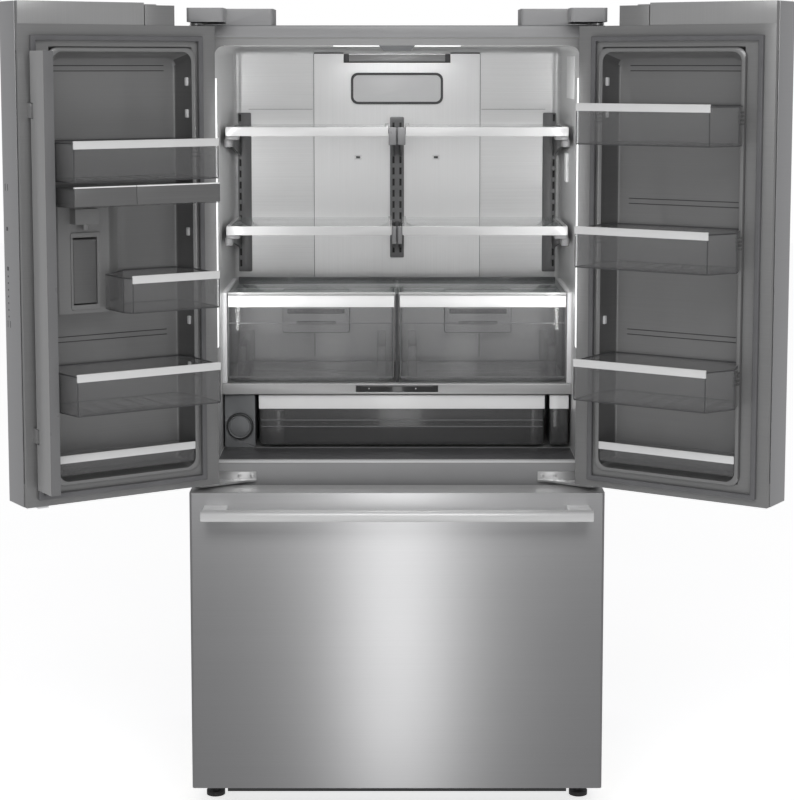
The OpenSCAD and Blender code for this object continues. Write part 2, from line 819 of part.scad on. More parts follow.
module dispenser() {
    color("gray") hang_left() difference() {
        union() {
            translate([0, 0, hump_low]) linear_extrude(hump_high - hump_low) {
                polygon([[212, 46], [253, 95], [258, 98], [370, 98], [374, 95], [360, 46]]);
            }
            // frame round the paddle
            translate([0, 101, 0]) rotate([90, 0, 0]) linear_extrude(4) {
                round_rect([276, 1150], [344, 1311], 5);
            }
            // spout
            span([291, 97, 1330], [344, 126, 1362]);
            translate([317, 113, 1318]) cylinder(h = 13, r = 7);
        }
        span([285, 74, 1160], [339, 105, 1301]);
        translate([317, 113, 1317]) cylinder(h = 20, r = 4);
    }
}

module dispenser_paddle() {
    color("dimgray") hang_left() {
        span([287, 94, 1163], [337, 98, paddle_top]);
        translate([286, 96, paddle_top - 2]) rotate([0, 90, 0]) cylinder(h = 52, r = 3);
    }
}

in_frame() cabinet_wrap();
in_frame() rear_panel();
in_frame() base_frame();
in_frame() front_frame();
in_frame() insulation_foam();
in_frame() fridge_liner();
in_frame() freezer_liner();
in_frame() duct_cover();
in_frame() air_filter_cover();
in_frame() light_lenses();
in_frame() mullion_guide();
in_frame() shelf_ladders();
in_frame() shelf_glass();
in_frame() shelf_trim();
in_frame() shelf_brackets();
in_frame() crisper_cover();
in_frame() crisper_frame();
in_frame() deck();
in_frame() control_panel();
in_frame() filter_housing();
in_frame() hinge_brackets();
in_frame() hinge_covers();
in_frame() fasteners();
in_frame() leveling_feet();
in_frame() toe_grille();
in_frame() compressor();
in_frame() condenser();
in_frame() evaporator();
in_frame() machine_cover();
in_frame() water_inlet();
in_frame() drawer_slides();
in_frame() evaporator_fan();
in_frame() rear_rollers();
in_frame() filter_cap();
in_frame() crisper_left();
in_frame() crisper_right();
in_frame() deli_drawer();
in_frame() side_bin();
in_frame() freezer_front();
in_frame() freezer_front_liner();
in_frame() freezer_gasket();
in_frame() freezer_handle();
in_frame() freezer_basket();
in_frame() freezer_upper_basket();
in_frame() left_door_skin();
in_frame() left_door_liner();
in_frame() left_door_gasket();
in_frame() left_door_handle();
in_frame() left_door_bins();
in_frame() right_door_skin();
in_frame() right_door_liner();
in_frame() right_door_gasket();
in_frame() right_door_handle();
in_frame() right_door_bins();
in_frame() flip_mullion();
in_frame() dairy_box();
in_frame() dairy_flap_wide();
in_frame() dairy_flap_narrow();
in_frame() dispenser();
in_frame() dispenser_paddle();
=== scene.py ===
import json
from math import pi, radians

import bpy
from mathutils import Matrix, Vector


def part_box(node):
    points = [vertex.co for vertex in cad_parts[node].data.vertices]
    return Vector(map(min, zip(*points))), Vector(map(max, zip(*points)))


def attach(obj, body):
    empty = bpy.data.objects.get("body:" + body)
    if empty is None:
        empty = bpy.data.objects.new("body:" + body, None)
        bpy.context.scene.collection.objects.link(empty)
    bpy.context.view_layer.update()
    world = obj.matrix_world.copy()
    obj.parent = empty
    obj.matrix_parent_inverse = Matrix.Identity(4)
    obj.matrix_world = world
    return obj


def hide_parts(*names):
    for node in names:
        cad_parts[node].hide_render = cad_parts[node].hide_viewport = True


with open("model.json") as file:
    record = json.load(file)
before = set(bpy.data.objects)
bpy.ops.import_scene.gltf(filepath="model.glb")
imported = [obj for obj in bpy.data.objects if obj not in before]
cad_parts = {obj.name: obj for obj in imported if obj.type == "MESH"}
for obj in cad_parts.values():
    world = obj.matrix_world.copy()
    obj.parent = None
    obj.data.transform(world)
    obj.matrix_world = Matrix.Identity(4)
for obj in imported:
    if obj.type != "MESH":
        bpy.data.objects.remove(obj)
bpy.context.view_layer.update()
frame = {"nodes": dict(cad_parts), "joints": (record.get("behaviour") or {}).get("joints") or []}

# Studio: the camera stands in front of the cabinet, a little above its top shelf, and a
# soft box hangs over it. A tall strip light behind the camera gives the steel its upright
# band of light. The floor is a plain pale sheet that sweeps away to white.
LENS_MM, SENSOR_MM, LENS_RISE = 89.82, 36, -0.15
CAMERA_PLACE, CAMERA_DIP = (0, -4.4946, 1.6597), 0.1079      # metres and radians
scene = bpy.context.scene
camera_data = bpy.data.cameras.new("studio_camera")
camera_data.lens, camera_data.sensor_width = LENS_MM, SENSOR_MM
camera_data.shift_y, camera_data.clip_end = LENS_RISE, 60
camera = bpy.data.objects.new("studio_camera", camera_data)
camera.location = CAMERA_PLACE
camera.rotation_euler = (pi / 2 - CAMERA_DIP, 0, 0)
scene.collection.objects.link(camera)
scene.camera = camera
scene.view_settings.view_transform = "Standard"
scene.cycles.transparent_max_bounces = 32


def soft_box(name, place, target, width, height, power):
    """A rectangular lamp at a place, turned to face a target."""
    lamp = bpy.data.lights.new(name, "AREA")
    lamp.shape = "RECTANGLE"
    lamp.size, lamp.size_y, lamp.energy = width, height, power
    holder = bpy.data.objects.new(name, lamp)
    holder.location = place
    aim = Vector(target) - Vector(place)
    holder.rotation_euler = aim.to_track_quat("-Z", "Y").to_euler()
    holder.visible_camera = False
    scene.collection.objects.link(holder)
    return holder


OVERHEAD_WATTS, STRIP_WATTS = 60, 30
soft_box("overhead_box", (0, -3.6, 3.6), (0, 0, 1.2), 3.2, 1.6, OVERHEAD_WATTS)
soft_box("strip_box", (0, -6.2, -0.6), (0, 0, -0.6), 0.60, 8.0, STRIP_WATTS)


class Wire:
    """A value on a shader wire, so that sums of values are written as sums."""

    def __init__(self, finish, socket):
        self.finish, self.socket = finish, socket

    def maths(self, kind, other, reflected=False):
        pair = (other, self) if reflected else (self, other)
        return self.finish.node("Math", {"operation": kind}, dict(enumerate(pair)))

    def __add__(self, other):
        return self.maths("ADD", other)

    def __sub__(self, other):
        return self.maths("SUBTRACT", other)

    def __rsub__(self, other):
        return self.maths("SUBTRACT", other, True)

    def __mul__(self, other):
        return self.maths("MULTIPLY", other)

    def __pow__(self, other):
        return self.maths("POWER", other)

    __radd__, __rmul__ = __add__, __mul__


class Finish:
    """One paint, metal, glass or plastic: a Principled shader and what drives it."""

    def __init__(self, name, colour, roughness, metallic=0.0, **constants):
        self.material = bpy.data.materials.new(name)
        self.material.use_nodes = True
        self.tree = self.material.node_tree
        self.shader = self.tree.nodes["Principled BSDF"]
        self.drive(Roughness=roughness, Metallic=metallic)
        self.shader.inputs["Base Color"].default_value = (*grey(colour), 1)
        for socket, value in constants.items():
            self.shader.inputs[socket.replace("_", " ")].default_value = value

    def plug(self, socket, value):
        if isinstance(value, Wire):
            self.tree.links.new(value.socket, socket)
        elif socket.type == "RGBA":
            socket.default_value = (*value[:3], 1)
        else:
            socket.default_value = value

    def node(self, kind, settings=None, sockets=None, out=0):
        made = self.tree.nodes.new("ShaderNode" + kind)
        for name, value in (settings or {}).items():
            if name == "stops":
                for spot, (place, shade) in zip(made.color_ramp.elements, value):
                    spot.position, spot.color = place, (shade, shade, shade, 1)
            else:
                setattr(made, name, value)
        for name, value in (sockets or {}).items():
            self.plug(made.inputs[name], value)
        return Wire(self, made.outputs[out])

    def drive(self, **inputs):
        for name, value in inputs.items():
            self.plug(self.shader.inputs[name.replace("_", " ")], value)
        return self

    def place(self, stretch=(1, 1, 1), turn=0.0):
        """The piece's own coordinates, stretched, after a turn about Z."""
        own = self.node("TexCoord", out=3)
        if turn:
            own = self.node("Mapping", {}, {"Vector": own, "Rotation": (0, 0, turn)})
        return self.node("Mapping", {}, {"Vector": own, "Scale": stretch})

    def noise(self, scale, detail=2.0, stretch=(1, 1, 1), turn=0.0):
        where = self.place(stretch, turn)
        return self.node("TexNoise", {}, {"Vector": where, "Scale": scale, "Detail": detail})

    def mix(self, factor, first, second):
        """Goes from the first colour to the second as the factor goes from 0 to 1."""
        return self.node("Mix", {"data_type": "RGBA"}, {0: factor, 6: first, 7: second}, out=2)

    def tint(self, factor, first, second):
        return self.drive(Base_Color=self.mix(factor, grey(first), grey(second)))

    def bump(self, height, strength, distance):
        sockets = {"Strength": strength, "Distance": distance, "Height": height}
        return self.drive(Normal=self.node("Bump", {}, sockets))


def grey(colour):
    """A colour from three numbers, or a plain grey from one."""
    return (colour,) * 3 if isinstance(colour, (int, float)) else tuple(colour)


def paint(piece, finish):
    """Gives a piece, new or from the frame, one finish all over."""
    if not piece.material_slots:
        piece.data.materials.append(finish.material)
    for spot in piece.material_slots:
        spot.material = finish.material
    return piece


def alone(piece):
    """Selects one piece and nothing else."""
    if bpy.context.object and bpy.context.object.mode != "OBJECT":
        bpy.ops.object.mode_set(mode="OBJECT")
    bpy.ops.object.select_all(action="DESELECT")
    piece.select_set(True)
    bpy.context.view_layer.objects.active = piece
    return piece


FLOOR_SIZE, FLOOR_GLOW = 24, 0.68
alone(camera)
bpy.ops.mesh.primitive_grid_add(x_subdivisions=8, y_subdivisions=8, size=FLOOR_SIZE,
                                location=(0, 2, 0))
floor = bpy.context.object
floor.name = "studio_floor"
floor_paper = Finish("floor_paper", 0.86, 0.85, Emission_Color=(1, 1, 1, 1),
                     Emission_Strength=FLOOR_GLOW)
floor_paper.tint(floor_paper.noise(2.0), 0.84, 0.88)
paint(floor, floor_paper)
floor.visible_glossy = floor.visible_shadow = False

# the air is white where the camera looks past the object, and lights it with a soft grey
# that is weaker on the camera's side
AIR_GREY = (0.36, 0.36, 0.365, 1)
AIR_FADE = {"From Min": -0.7, "From Max": 0.5, "To Min": 0.68, "To Max": 1.06}
world = bpy.data.worlds.new("studio_air")
scene.world = world
world.use_nodes = True
air = world.node_tree
backdrop = air.nodes["Background"]
soft_air = air.nodes.new("ShaderNodeBackground")
soft_air.inputs["Color"].default_value = AIR_GREY
backdrop.inputs["Color"].default_value = (1, 1, 1, 1)
seen = air.nodes.new("ShaderNodeLightPath")
either = air.nodes.new("ShaderNodeMixShader")
air.links.new(seen.outputs["Is Camera Ray"], either.inputs[0])
air.links.new(soft_air.outputs[0], either.inputs[1])
air.links.new(backdrop.outputs[0], either.inputs[2])
looking = air.nodes.new("ShaderNodeTexCoord")
parts_of = air.nodes.new("ShaderNodeSeparateXYZ")
fade = air.nodes.new("ShaderNodeMapRange")
for spot, value in AIR_FADE.items():
    fade.inputs[spot].default_value = value
air.links.new(looking.outputs["Generated"], parts_of.inputs[0])
air.links.new(parts_of.outputs["Y"], fade.inputs["Value"])
air.links.new(fade.outputs[0], soft_air.inputs["Strength"])
air.links.new(either.outputs[0], air.nodes["World Output"].inputs[0])

# Cabinet: a painted steel wrap round polyurethane foam, closed at the back by bare
# galvanised sheet and at the front by a painted flange round both openings. The base
# frame and the louvred cover of the machine space are the same galvanised sheet.
CABINET = "cabinet"
face_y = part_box("front_frame")[0].y         # the cabinet's front face


def at(x, y, z):
    """A point from millimetres: right of the middle, behind the front face, above the floor."""
    return Vector((x / 1000, face_y + y / 1000, z / 1000))


def ready(piece, name, body, finish, node=None):
    """Names a finished piece, paints it, hangs it on its body and hides the frame's node that it
    stands for.
    """
    piece.name = piece.data.name = name
    paint(piece, finish)
    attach(piece, body)
    if node:
        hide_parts(node)
    return piece


def soften(piece, width, segments=2, angle=30):
    """Rounds a piece's edges with an applied bevel and shades it smooth between them."""
    alone(piece)
    if width:
        edge = piece.modifiers.new("edge", "BEVEL")
        edge.width, edge.segments, edge.limit_method = width / 1000, segments, "ANGLE"
        edge.angle_limit, edge.harden_normals = radians(angle), False
        bpy.ops.object.modifier_apply(modifier="edge")
    bpy.ops.object.shade_smooth_by_angle(angle=radians(35))
    return piece


def eased(node, body, width, finish, segments=2):
    """Stands for a piece of the frame with its sharp edges eased as in the real one."""
    piece = bpy.data.objects.new(node, frame["nodes"][node].data.copy())
    scene.collection.objects.link(piece)
    alone(piece)
    bpy.ops.object.mode_set(mode="EDIT")
    bpy.ops.mesh.select_all(action="SELECT")
    bpy.ops.mesh.remove_doubles(threshold=1e-6)
    bpy.ops.mesh.customdata_custom_splitnormals_clear()
    if width:
        bpy.ops.mesh.dissolve_limited(angle_limit=radians(0.5))
    bpy.ops.object.mode_set(mode="OBJECT")
    soften(piece, width, segments)
    return ready(piece, node + "_formed", body, finish, node)


def powder(name, low, high, roughness=0.45):
    """Powder paint with its fine orange peel and a faint unevenness of tone."""
    coat = Finish(name, low, roughness, Coat_Weight=0.15)
    coat.tint(coat.noise(6, 3), low, high)
    peel = coat.noise(900, 2)
    coat.drive(Roughness=roughness - 0.06 + coat.noise(40) * 0.12)
    return coat.bump(peel, 0.25, 0.0004)


def rolled_zinc(name):
    """Galvanised sheet: pale metal with the grain of its zinc crystals."""
    zinc = Finish(name, 0.5, 0.45, 0.85)
    crystals = zinc.node("TexVoronoi", {}, {"Vector": zinc.place(), "Scale": 90}, out=1)
    tone = zinc.node("SeparateColor", {}, {0: crystals})
    zinc.tint(tone, (0.47, 0.485, 0.50), (0.55, 0.565, 0.58))
    zinc.drive(Roughness=0.34 + tone * 0.2)
    return zinc.bump(zinc.noise(500), 0.1, 0.0003)


wrap_paint = powder("wrap_paint", (0.17, 0.175, 0.18), (0.21, 0.215, 0.22))
flange_paint = powder("flange_paint", (0.30, 0.30, 0.305), (0.34, 0.34, 0.345), 0.35)
zinc_sheet = rolled_zinc("zinc_sheet")
foam_fill = Finish("foam_fill", 0.6, 0.9)
foam_fill.tint(foam_fill.noise(60, 4), (0.72, 0.62, 0.33), (0.84, 0.75, 0.46))
foam_fill.bump(foam_fill.noise(220, 3), 0.6, 0.001)
eased("cabinet_wrap", CABINET, 0.5, wrap_paint)
eased("front_frame", CABINET, 0.5, flange_paint)
eased("base_frame", CABINET, 0, zinc_sheet)
eased("rear_panel", CABINET, 0.4, zinc_sheet)
eased("machine_cover", CABINET, 0, zinc_sheet)
paint(frame["nodes"]["insulation_foam"], foam_fill)

# Fresh food liner: one vacuum-formed white shell with rounded coves, a satin sheen and a
# steel air duct screwed over the middle of its back wall. A filter cover clips into the
# duct, and lamps sit in the ceiling and down both side walls.
deck_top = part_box("deck")[1].z * 1000
liner_shell = {"x": 399.6, "back": 499.6, "low": 780.3, "high": 1699.7, "cove": 22}


def marked(piece, kind, test):
    """Enters edit mode with what passes the test selected: VERT, EDGE or FACE."""
    alone(piece)
    tool = bpy.context.tool_settings
    tool.mesh_select_mode = tuple(kind == name for name in ("VERT", "EDGE", "FACE"))
    mesh = piece.data
    for group in (mesh.vertices, mesh.edges, mesh.polygons):
        group.foreach_set("select", [False] * len(group))
    points = [vertex.co for vertex in mesh.vertices]
    if kind == "FACE":
        for face in mesh.polygons:
            face.select = bool(test(face.center, face.normal))
    elif kind == "EDGE":
        for edge in mesh.edges:
            first, second = (points[i] for i in edge.vertices)
            edge.select = bool(test(first, second))
    else:
        for vertex in mesh.vertices:
            vertex.select = bool(test(vertex.co))
    bpy.ops.object.mode_set(mode="EDIT")


def done():
    bpy.ops.object.mode_set(mode="OBJECT")


def across(side, near, far):
    """The ends of a span on one side of the middle, in rising order."""
    return sorted((side * near, side * far))


def second_coat(piece, finish, test):
    """Gives the faces of a finished piece that pass the test a finish of their own."""
    piece.data.materials.append(finish.material)
    marked(piece, "FACE", test)
    piece.active_material_index = len(piece.material_slots) - 1
    bpy.ops.object.material_slot_assign()
    done()
    return piece


def block(low, high, width=0.0, segments=2):
    """A cube stretched between two points in metres, with its edges rounded."""
    low, high = Vector(low), Vector(high)
    if bpy.context.object and bpy.context.object.mode != "OBJECT":
        done()
    bpy.ops.object.select_all(action="DESELECT")
    bpy.ops.mesh.primitive_cube_add(size=1, location=(low + high) / 2, scale=high - low)
    piece = bpy.context.object
    bpy.ops.object.transform_apply(location=True, rotation=True, scale=True)
    if width:
        soften(piece, width, segments)
    return piece


def thicken(piece, wall, offset=1.0):
    """Gives a sheet its wall, outwards for offset 1 and inwards for -1."""
    alone(piece)
    shell = piece.modifiers.new("wall", "SOLIDIFY")
    shell.thickness, shell.offset = wall / 1000, offset
    bpy.ops.object.modifier_apply(modifier="wall")
    return piece


def joined(first, *others):
    """Makes one piece of several."""
    alone(first)
    for other in others:
        other.select_set(True)
    bpy.ops.object.join()
    return first


def satin_sheet(name, dark, pale, metallic, roughness, grain, turn=0.0):
    """A brushed satin skin: streaks along one direction under a thin clear coat."""
    skin = Finish(name, dark, roughness, metallic, Coat_Weight=0.1)
    streak = skin.noise(1.0, 4, grain, turn)
    skin.tint(streak, dark, pale)
    skin.drive(Roughness=roughness - 0.08 + streak * 0.16)
    return skin.bump(streak, 0.12, 0.0004)


inner_white = satin_sheet("inner_white", 0.64, 0.76, 0.6, 0.34, (4, 4, 700))
lip_grey = satin_sheet("lip_grey", 0.30, 0.36, 0.4, 0.36, (4, 700, 700))
duct_steel = satin_sheet("duct_steel", 0.70, 0.80, 0.65, 0.32, (700, 700, 3))
cover_white = Finish("cover_white", 0.6, 0.3)
trim_dark = powder("trim_dark", (0.05, 0.05, 0.052), (0.075, 0.075, 0.078), 0.35)
cover_white.tint(cover_white.noise(9), (0.66, 0.66, 0.665), (0.72, 0.72, 0.725))
cover_white.bump(cover_white.noise(1200), 0.1, 0.0002)
lamp_glow = Finish("lamp_glow", 0.9, 0.4, Emission_Strength=0.85)
ribs = lamp_glow.node("TexWave", {"bands_direction": "Z"},
                      {"Vector": lamp_glow.place(), "Scale": 60})
lamp_glow.drive(Emission_Color=lamp_glow.mix(ribs, (0.93, 0.95, 0.96), (1, 1, 1)))

shell = block(at(-liner_shell["x"], 0.4, liner_shell["low"]),
              at(liner_shell["x"], liner_shell["back"], liner_shell["high"]))
marked(shell, "FACE", lambda c, n: n.y < -0.9)
bpy.ops.mesh.delete(type="FACE")
done()
back_line = at(0, liner_shell["back"], 0).y - 0.001
# the coves run round the back wall, but not along its foot, and along the ceiling's sides
marked(shell, "EDGE", lambda a, b: (a.y > back_line and b.y > back_line and max(a.z, b.z) > 1)
       or (a.z > 1.6 and b.z > 1.6 and abs(a.x - b.x) < 0.001))
bpy.ops.mesh.bevel(offset=liner_shell["cove"] / 1000, segments=6, affect="EDGES")
done()
shell.data.flip_normals()
thicken(shell, 2.2, -1)
soften(shell, 0)
ready(shell, "liner_inner_shell", CABINET, inner_white)
eased("fridge_liner", CABINET, 0, lip_grey)
eased("duct_cover", CABINET, 0, duct_steel)


def plate(low, high, corner, width):
    """An upright plate facing the front, with round corners and eased edges."""
    piece = block(low, high)
    marked(piece, "EDGE", lambda a, b: abs(a.y - b.y) > 1e-5)
    bpy.ops.mesh.bevel(offset=corner / 1000, segments=6, affect="EDGES")
    done()
    return soften(piece, width)


# the dark plate behind the cover's white face shows as a dark outline round it: painted shade for
# the groove round the cover
ready(plate(at(-112, 485.4, 1562), at(112, 495, 1638), 17, 1.5), "filter_cover_painted_shade_outline", CABINET,
      trim_dark, "air_filter_cover")
ready(plate(at(-106.5, 484.9, 1567.5), at(106.5, 494, 1632.5), 13, 1.2), "filter_cover_face",
      CABINET, cover_white)
# painted shade: the dark sides and foot of the outlet recess, the dark ledges along the duct's top,
# the vent slots and the gaps beside the duct; the seam across the back wall is a dark joint
notch = [block(at(a, 494.6, 1662), at(b, 498, 1684), 0.8) for a, b in ((-130, -117), (117, 130))]
notch.append(block(at(-130, 494.6, 1662), at(130, 498, 1665), 0.6))
notch += [block(at(a, 494.6, 1683.6), at(b, 499, 1686.5), 0.6)
          for a, b in ((-202, -130), (130, 202))]
for side in (-1, 1):
    a, b = across(side, 90, 100)            # the vent
    notch.append(block(at(a, 494.4, 1430), at(b, 495.6, 1435), 0.5))
    a, b = across(side, 202, 203.3)         # the gap beside the duct
    notch.append(block(at(a, 497.5, 941), at(b, 499.8, 1684), 0.4))
    a, b = across(side, 206, 362)           # the seam across the back wall
    notch.append(block(at(a, 498.9, 1549), at(b, 499.7, 1549.9), 0.2))
ready(joined(*notch), "duct_painted_shade_and_seam", CABINET, trim_dark)
# the mid-grey face inside the outlet recess is painted shade for the recess
outlet = block(at(-117, 497.0, 1665), at(117, 497.9, 1682), 0.3)
ready(outlet, "duct_outlet_painted_shade", CABINET, lip_grey)
lenses = [block(at(-141, 58, 1698), at(141, 96, 1699.9), 0.8)]
lenses += [block(at(a, 18.2, 1030.2), at(b, 39.8, 1627.8), 0.6)
           for a, b in (across(side, 398.1, 399.9) for side in (-1, 1))]
ready(joined(*lenses), "lamp_lenses", CABINET, lamp_glow, "light_lenses")
# a near-black sheet over the front of the liner floor: painted shadow for the shade under the deli
# drawer
painted_shadow_floor = block(at(-398, 8, 780.1), at(398, 134, 781.2), 0.4)
ready(painted_shadow_floor, "liner_front_floor_painted_shadow", CABINET, trim_dark)
# the upper front corners are square outside and follow the cove inside
GUSSET, HOLLOW = 0.0216, 0.086            # its side in metres, and a bevel profile curved inwards
gussets = []
for side in (-1, 1):
    middle = at(side * 389, 0.6, 1689)
    bpy.ops.object.select_all(action="DESELECT")
    bpy.ops.mesh.primitive_plane_add(size=GUSSET, location=middle, rotation=(pi / 2, 0, 0))
    gusset = bpy.context.object
    bpy.ops.object.transform_apply(location=True, rotation=True, scale=True)
    marked(gusset, "VERT", lambda co: (co.x - middle.x) * side < 0 and co.z < middle.z)
    bpy.ops.mesh.bevel(offset=0.0205, segments=6, profile=HOLLOW, affect="VERTICES")
    done()
    gussets.append(thicken(gusset, 0.5, 0))
ready(joined(*gussets), "liner_corner_gussets", CABINET, lip_grey)
sill = block(at(-399, -0.15, 773.5), at(399, 1.6, 779.5), 0.5, 3)
ready(sill, "liner_sill_bead", CABINET, cover_white)
INNER_WATTS = 0.9
soft_box("ceiling_lamp", at(0, 77, 1690), at(0, 150, 1000), 0.28, 0.04, INNER_WATTS)
for x in (-396, 396):
    soft_box("side_lamp", at(x, 29, 1329), at(0, 160, 1329), 0.02, 0.6, INNER_WATTS)

# blank rating label and a small sensor cap on the right wall
label_white = Finish("label_white", 0.8, 0.5)
label_white.tint(label_white.noise(300), 0.86, 0.92)
label = block(at(399.0, 128, 1580), at(399.8, 330, 1677), 0.3)
cap = block(at(394, 268, 1384), at(399.8, 316, 1453), 2.5, 3)
ready(joined(label, cap), "wall_label_and_sensor", CABINET, label_white)

# Shelf ladders, shelves and brackets: dark plastic ladders screwed to the back wall carry
# steel arms, and each half shelf is a float glass plate in a white moulded frame with a
# bright front rail.
moulded_black = powder("moulded_black", (0.035, 0.036, 0.037), (0.05, 0.051, 0.052), 0.4)
ladder_grey = powder("ladder_grey", (0.12, 0.12, 0.122), (0.145, 0.145, 0.147), 0.35)
slot_black = powder("slot_black", (0.012, 0.012, 0.012), (0.02, 0.02, 0.02), 0.7)
rail_white = Finish("rail_white", 0.8, 0.22, Coat_Weight=0.3)
rail_white.tint(rail_white.noise(12), 0.44, 0.50)
rail_white.bump(rail_white.noise(900), 0.06, 0.0002)
strip_white = Finish("strip_white", 0.9, 0.2, Coat_Weight=0.3)
strip_white.tint(strip_white.noise(12), 0.86, 0.93)
strip_white.bump(strip_white.noise(900), 0.06, 0.0002)


def see_through(name, colour, edge_colour, face_on, edge_on, roughness=0.08, grain=0.0):
    """Clear moulding or glass: nearly open face on, and darker and denser at its edges."""
    clear = Finish(name, colour, roughness, Coat_Weight=0.6, Specular_IOR_Level=0.7)
    rim = clear.node("LayerWeight", {}, {"Blend": 0.4}, out=1)
    clear.drive(Alpha=face_on + rim ** 2.0 * (edge_on - face_on))
    clear.tint(rim, colour, edge_colour)
    clear.drive(Roughness=roughness + clear.noise(14, 2) * 0.06)
    if grain:
        clear.bump(clear.noise(260, 3), grain, 0.0006)
    return clear


shelf_glass = see_through("shelf_glass_plate", (0.5, 0.53, 0.52), (0.10, 0.13, 0.125),
                          0.10, 0.55)
eased("shelf_ladders", CABINET, 0.6, ladder_grey)
ladders = ((-372, 496.5, 1152, 1541), (0, 491.5, 1187, 1531), (372, 496.5, 1152, 1541))
# near-black sheets behind the ladder slots: painted shade, so that the slots read dark
slot_shade_sheets = [block(at(x - 15, y, low + 3), at(x + 15, y + 1.2, high - 3), 0.3)
         for x, y, low, high in ladders]
ready(joined(*slot_shade_sheets), "ladder_slot_painted_shade", CABINET, slot_black)
eased("shelf_brackets", CABINET, 0.8, moulded_black)
eased("shelf_glass", CABINET, 0.7, shelf_glass)
eased("shelf_trim", CABINET, 1.6, rail_white, 3)
clip_grey = powder("clip_grey", (0.14, 0.14, 0.143), (0.19, 0.19, 0.193), 0.3)
shelf_rows = ((1515, 20), (1290, 12))        # the top of each pair, and half its middle gap
for top, gap in shelf_rows:
    clips = []
    for side in (-1, 1):
        a, b = across(side, 1.5, gap - 0.8)
        clips.append(block(at(a, 133.5, top - 38), at(b, 150, top + 1.6), 1.6, 2))
        a, b = across(side, 358, 389)
        clips.append(block(at(a, 139, top - 27), at(b, 166, top - 17.6), 2.5, 3))
        a, b = across(side, 374, 392)
        clips.append(block(at(a, 146, top - 44), at(b, 178, top - 24), 3, 3))
    ready(joined(*clips), f"shelf_clips_{top}", CABINET, clip_grey)

# Crisper drawers: two injection-moulded clear tubs under a glass cover, each with thick
# inner rails, dark moulded edges and a bright front strip. The humidity slides hang behind
# them, and the deck below is a grey moulding with a dark touch control let into it.
crisper_clear = see_through("crisper_clear", (0.24, 0.24, 0.245), (0.05, 0.05, 0.052),
                            0.13, 0.75, 0.08, 0.08)
DRAWER_WALL, STRIP_Y = 2.5, (138.2, 150)


def drawn(plan, z, point):
    """Draws a plan as one face: a single point is pulled from corner to corner and filled."""
    corners = [point(*corner_at, z) for corner_at in plan]
    bpy.ops.object.select_all(action="DESELECT")
    bpy.ops.mesh.primitive_plane_add(size=0.001, location=corners[0])
    piece = bpy.context.object
    bpy.ops.object.transform_apply(location=True, rotation=True, scale=True)
    bpy.ops.object.mode_set(mode="EDIT")
    bpy.ops.mesh.select_mode(type="VERT")
    bpy.ops.mesh.select_all(action="SELECT")
    bpy.ops.mesh.merge(type="CENTER")
    for here, there in zip(corners, corners[1:]):
        bpy.ops.mesh.extrude_vertices_move(TRANSFORM_OT_translate={"value": there - here})
    bpy.ops.mesh.select_all(action="SELECT")
    bpy.ops.mesh.edge_face_add()
    return piece


def tub(plan, z0, z1, corner, foot=8, wall=DRAWER_WALL, point=at):
    """An open moulded tub: its plan is drawn as one face, its corners are rounded, it is
    pulled up, its floor edge is rounded, its top is opened and its wall is grown inwards."""
    piece = drawn(plan, z0, point)
    bpy.ops.mesh.bevel(offset=corner / 1000, segments=4, affect="VERTICES")
    bpy.ops.mesh.select_all(action="SELECT")
    bpy.ops.mesh.extrude_region_move(TRANSFORM_OT_translate={"value": (0, 0, (z1 - z0) / 1000)})
    bpy.ops.mesh.select_all(action="SELECT")
    bpy.ops.mesh.normals_make_consistent(inside=False)
    done()
    marked(piece, "FACE", lambda c, n: abs(n.z) > 0.9 and c.z > (z0 + z1) / 2000)
    bpy.ops.mesh.delete(type="ONLY_FACE")
    done()
    if foot:
        low = z0 / 1000 + 1e-5
        marked(piece, "EDGE", lambda a, b: a.z < low and b.z < low)
        bpy.ops.mesh.bevel(offset=foot / 1000, segments=3, affect="EDGES")
        done()
    return soften(thicken(piece, wall, -1), 0.5, 1)


def rectangle(x0, x1, y0, y1):
    return [(x0, y0), (x1, y0), (x1, y1), (x0, y1)]


def strip(x0, x1, y0, y1, z0, z1):
    """A bright front strip with a shallow finger groove along its underside."""
    bar = block(at(x0, y0, z0), at(x1, y1, z1))
    marked(bar, "FACE", lambda c, n: n.z < -0.9)
    bpy.ops.mesh.inset(thickness=0.0025, depth=-0.004)
    done()
    return soften(bar, 1.6, 3)


def mirrored(piece):
    """The same piece on the other side of the middle, with its faces still outwards."""
    piece.data.transform(Matrix.Diagonal((-1, 1, 1, 1)))
    piece.data.flip_normals()
    return piece


for side, name in ((1, "crisper_right"), (-1, "crisper_left")):
    parts = [tub(rectangle(6.5, 386.5, 139, 435.5), deck_top + 3.5, 1126, 16, 12)]
    for x0, x1 in ((26, 46), (345, 365)):
        parts.append(block(at(x0, 143, 944), at(x1, 425, 1016), 3, 3))
    parts.append(block(at(60, 137.4, 958), at(330, 139.2, 961), 0.9))
    front = strip(6.5, 386.5, *STRIP_Y, 1106, 1133.8)
    body = joined(*parts)
    if side < 0:
        mirrored(body), mirrored(front)
    ready(body, name + "_tub", name, crisper_clear, name)
    ready(front, name + "_strip", name, strip_white)
    lines = [block(at(8, 138.3, z), at(385, 139.3, z + 2.2), 0.4) for z in (944.6, 1069)]
    lines += [block(at(x, 138.3, 947), at(x + 1.8, 139.3, 1106), 0.4) for x in (7.2, 384)]
    outline = joined(*lines)
    if side < 0:
        mirrored(outline)
    ready(outline, name + "_dark_edges", name, clip_grey)

eased("crisper_cover", CABINET, 0.6, shelf_glass)
cover_front = [strip(*across(side, 4.5, 386), 135.5, 141.5, 1135.6, 1141) for side in (-1, 1)]
ready(joined(*cover_front), "crisper_cover_lip", CABINET, rail_white)
carrier = eased("crisper_frame", CABINET, 1.0, trim_dark)
